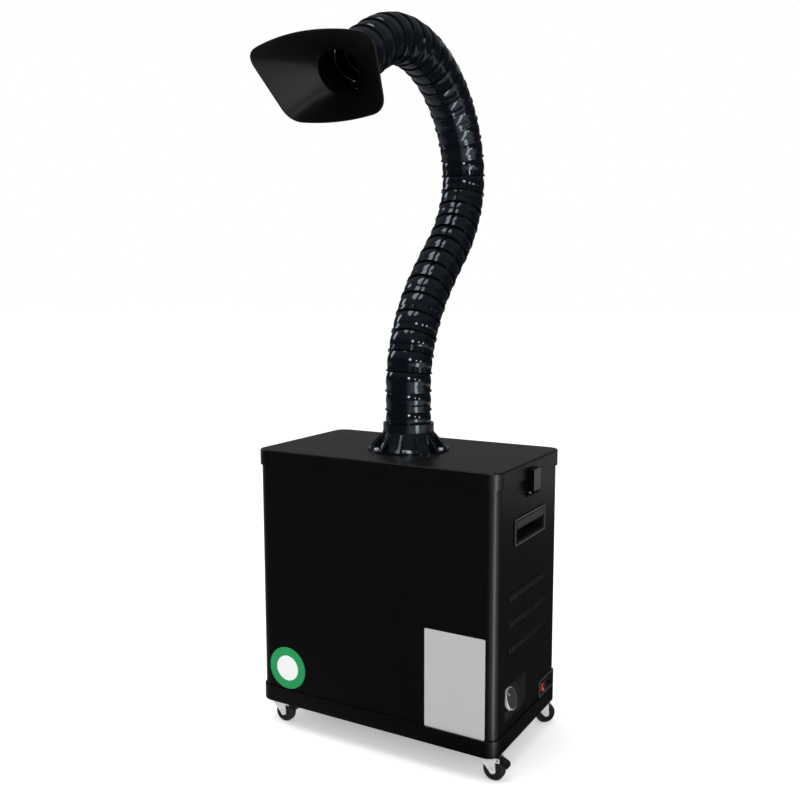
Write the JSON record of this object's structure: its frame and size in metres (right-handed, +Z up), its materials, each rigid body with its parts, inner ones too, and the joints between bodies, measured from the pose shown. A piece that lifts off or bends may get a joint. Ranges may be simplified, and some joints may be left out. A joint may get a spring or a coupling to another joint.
{
  "type": "welding fume extractor",
  "caption": "Mobile welding fume extractor: black sheet-metal filter cabinet on casters with a lift-off lid, side controls, and a self-holding ringed suction arm with a wide hood.",
  "frame": {"origin": "on the floor under the middle of the cabinet", "axes": "+Z up, +X towards the cabinet's right side with the controls, front (and the hood) towards -Y"},
  "size_m": [0.4604, 0.5248, 1.1625],
  "materials": {
    "powder_black": "satin powder coat",
    "duct_black": "glossy moulded",
    "hood_black": "matt moulded",
    "moulded_black": "fine grain",
    "wheel_black": "smooth tread",
    "zinc": "bright zinc",
    "latch_steel": "gloss paint",
    "spun_silver": "spun",
    "seal_foam": "closed-cell foam",
    "rocker_red": "gloss",
    "pin_brass": "plated",
    "galvanised": "galvanised",
    "filter_media": "pleated media in a card frame",
    "motor_paint": "paint",
    "board_green": "lacquered board"
  },
  "bodies": {
    "cabinet": {"base_tray": "powder_black", "cabinet_shell": "powder_black", "handle_right": "moulded_black", "handle_left": "moulded_black", "latch_brackets": "latch_steel", "control_pocket": "moulded_black", "speed_regulator": "moulded_black", "power_inlet": "moulded_black", "inlet_pins": "pin_brass", "filter_shelf": "galvanised", "carbon_filter": "filter_media", "fine_filter": "filter_media", "prefilter": "filter_media", "blower_housing": "galvanised", "blower_motor": "motor_paint", "control_board": "board_green", "caster_plates": "zinc", "caster_bolts": "zinc"},
    "fork_front_left": {"caster_fork_front_left": "zinc"},
    "wheel_front_left": {"caster_wheel_front_left": "wheel_black"},
    "fork_front_right": {"caster_fork_front_right": "zinc"},
    "wheel_front_right": {"caster_wheel_front_right": "wheel_black"},
    "fork_rear_left": {"caster_fork_rear_left": "zinc"},
    "wheel_rear_left": {"caster_wheel_rear_left": "wheel_black"},
    "fork_rear_right": {"caster_fork_rear_right": "zinc"},
    "wheel_rear_right": {"caster_wheel_rear_right": "wheel_black"},
    "brake_front_left": {"brake_lever_front_left": "moulded_black"},
    "brake_front_right": {"brake_lever_front_right": "moulded_black"},
    "fan": {"blower_impeller": "galvanised", "motor_shaft": "zinc"},
    "knob": {"speed_knob": "moulded_black", "knob_cap": "spun_silver"},
    "rocker": {"power_switch": "rocker_red"},
    "latch_right": {"latch_lever_right": "latch_steel"},
    "latch_left": {"latch_lever_left": "latch_steel"},
    "lid": {"lid": "powder_black", "lid_seal": "seal_foam", "duct_flange": "duct_black", "flange_screws": "zinc"},
    "ring_01": {"arm_rings_01": "duct_black"},
    "ring_02": {"arm_rings_02": "duct_black"},
    "ring_03": {"arm_rings_03": "duct_black"},
    "ring_04": {"arm_rings_04": "duct_black"},
    "ring_05": {"arm_rings_05": "duct_black"},
    "ring_06": {"arm_rings_06": "duct_black"},
    "ring_07": {"arm_rings_07": "duct_black"},
    "ring_08": {"arm_rings_08": "duct_black"},
    "ring_09": {"arm_rings_09": "duct_black"},
    "ring_10": {"arm_rings_10": "duct_black"},
    "ring_11": {"arm_rings_11": "duct_black"},
    "ring_12": {"arm_rings_12": "duct_black"},
    "ring_13": {"arm_rings_13": "duct_black"},
    "ring_14": {"arm_rings_14": "duct_black"},
    "ring_15": {"arm_rings_15": "duct_black"},
    "ring_16": {"arm_rings_16": "duct_black"},
    "hood": {"hood": "hood_black"}
  },
  "joints": [
    {"name": "caster_swivel_front_left", "type": "hinge", "parent": "cabinet", "child": "fork_front_left", "pos_m": [-0.196, -0.104, 0.038], "axis": [0, 0, 1], "continuous": true},
    {"name": "caster_swivel_front_right", "type": "hinge", "parent": "cabinet", "child": "fork_front_right", "pos_m": [0.196, -0.104, 0.038], "axis": [0, 0, 1], "continuous": true},
    {"name": "caster_swivel_rear_left", "type": "hinge", "parent": "cabinet", "child": "fork_rear_left", "pos_m": [-0.196, 0.104, 0.038], "axis": [0, 0, 1], "continuous": true},
    {"name": "caster_swivel_rear_right", "type": "hinge", "parent": "cabinet", "child": "fork_rear_right", "pos_m": [0.196, 0.104, 0.038], "axis": [0, 0, 1], "continuous": true},
    {"name": "caster_roll_front_left", "type": "hinge", "parent": "fork_front_left", "child": "wheel_front_left", "pos_m": [-0.184, -0.104, 0.017], "axis": [0, 1, 0], "continuous": true},
    {"name": "caster_roll_front_right", "type": "hinge", "parent": "fork_front_right", "child": "wheel_front_right", "pos_m": [0.208, -0.104, 0.017], "axis": [0, 1, 0], "continuous": true},
    {"name": "caster_roll_rear_left", "type": "hinge", "parent": "fork_rear_left", "child": "wheel_rear_left", "pos_m": [-0.18441, 0.10711, 0.017], "axis": [-0.2588, 0.9659, 0], "continuous": true},
    {"name": "caster_roll_rear_right", "type": "hinge", "parent": "fork_rear_right", "child": "wheel_rear_right", "pos_m": [0.20519, 0.11171, 0.017], "axis": [-0.6428, 0.766, 0], "continuous": true},
    {"name": "brake_front_left", "type": "hinge", "parent": "fork_front_left", "child": "brake_front_left", "pos_m": [-0.176, -0.104, 0.0344], "axis": [0, 1, 0], "range_deg": [0, 21]},
    {"name": "brake_front_right", "type": "hinge", "parent": "fork_front_right", "child": "brake_front_right", "pos_m": [0.216, -0.104, 0.0344], "axis": [0, 1, 0], "range_deg": [0, 21]},
    {"name": "fan_spin", "type": "hinge", "parent": "cabinet", "child": "fan", "pos_m": [0, 0, 0.21], "axis": [0, 0, 1], "continuous": true},
    {"name": "knob_turn", "type": "hinge", "parent": "cabinet", "child": "knob", "pos_m": [0.2035, -0.06, 0.109], "axis": [0.9596, 0, 0.2813], "range_deg": [-280, 0]},
    {"name": "power_rocker", "type": "hinge", "parent": "cabinet", "child": "rocker", "pos_m": [0.215, 0.061, 0.084], "axis": [0, 1, 0], "range_deg": [0, 16]},
    {"name": "latch_right", "type": "hinge", "parent": "cabinet", "child": "latch_right", "pos_m": [0.2223, 0, 0.428], "axis": [0, 1, 0], "range_deg": [0, 100]},
    {"name": "latch_left", "type": "hinge", "parent": "cabinet", "child": "latch_left", "pos_m": [-0.2223, 0, 0.428], "axis": [0, -1, 0], "range_deg": [0, 100]},
    {"name": "lid_lift", "type": "slide", "parent": "cabinet", "child": "lid", "axis": [0, 0, 1], "range_m": [0, 0.08]},
    {"name": "arm_swivel", "type": "hinge", "parent": "lid", "child": "ring_01", "pos_m": [0, 0, 0.4958], "axis": [0, 0, 1], "continuous": true},
    {"name": "ring_bend_01", "type": "hinge", "parent": "ring_01", "child": "ring_02", "pos_m": [0, 0, 0.5576], "axis": [1, 0, 0], "range_deg": [-7, 7]},
    {"name": "ring_bend_02", "type": "hinge", "parent": "ring_02", "child": "ring_03", "pos_m": [0, 0.0043, 0.6191], "axis": [0, 0.9781, -0.2079], "range_deg": [-7, 7]},
    {"name": "ring_bend_03", "type": "hinge", "parent": "ring_03", "child": "ring_04", "pos_m": [0, 0.02539, 0.67703], "axis": [1, 0, 0], "range_deg": [-7, 7]},
    {"name": "ring_bend_04", "type": "hinge", "parent": "ring_04", "child": "ring_05", "pos_m": [0, 0.059, 0.72879], "axis": [0, 0.7771, -0.6293], "range_deg": [-7, 7]},
    {"name": "ring_bend_05", "type": "hinge", "parent": "ring_05", "child": "ring_06", "pos_m": [0, 0.10114, 0.77398], "axis": [1, 0, 0], "range_deg": [-7, 7]},
    {"name": "ring_bend_06", "type": "hinge", "parent": "ring_06", "child": "ring_07", "pos_m": [0, 0.14633, 0.81612], "axis": [0, 0.7193, -0.6947], "range_deg": [-7, 7]},
    {"name": "ring_bend_07", "type": "hinge", "parent": "ring_07", "child": "ring_08", "pos_m": [0, 0.18257, 0.866], "axis": [1, 0, 0], "range_deg": [-7, 7]},
    {"name": "ring_bend_08", "type": "hinge", "parent": "ring_08", "child": "ring_09", "pos_m": [0, 0.20103, 0.92456], "axis": [0, 0.9969, -0.0785], "range_deg": [-7, 7]},
    {"name": "ring_bend_09", "type": "hinge", "parent": "ring_09", "child": "ring_10", "pos_m": [0, 0.19195, 0.98529], "axis": [1, 0, 0], "range_deg": [-7, 7]},
    {"name": "ring_bend_10", "type": "hinge", "parent": "ring_10", "child": "ring_11", "pos_m": [0, 0.16256, 1.03943], "axis": [0, 0.7934, 0.6088], "range_deg": [-7, 7]},
    {"name": "ring_bend_11", "type": "hinge", "parent": "ring_11", "child": "ring_12", "pos_m": [0, 0.11821, 1.08225], "axis": [1, 0, 0], "range_deg": [-7, 7]},
    {"name": "ring_bend_12", "type": "hinge", "parent": "ring_12", "child": "ring_13", "pos_m": [0, 0.06378, 1.1112], "axis": [0, 0.342, 0.9397], "range_deg": [-7, 7]},
    {"name": "ring_bend_13", "type": "hinge", "parent": "ring_13", "child": "ring_14", "pos_m": [0, 0.00347, 1.12401], "axis": [1, 0, 0], "range_deg": [-7, 7]},
    {"name": "ring_bend_14", "type": "hinge", "parent": "ring_14", "child": "ring_15", "pos_m": [0, -0.05785, 1.11865], "axis": [0, -0.2588, 0.9659], "range_deg": [-7, 7]},
    {"name": "ring_bend_15", "type": "hinge", "parent": "ring_15", "child": "ring_16", "pos_m": [0, -0.11365, 1.09263], "axis": [1, 0, 0], "range_deg": [-7, 7]},
    {"name": "ring_hood_tilt", "type": "hinge", "parent": "ring_16", "child": "hood", "pos_m": [0, -0.16717, 1.06173], "axis": [1, 0, 0], "range_deg": [-8, 8]}
  ]
}
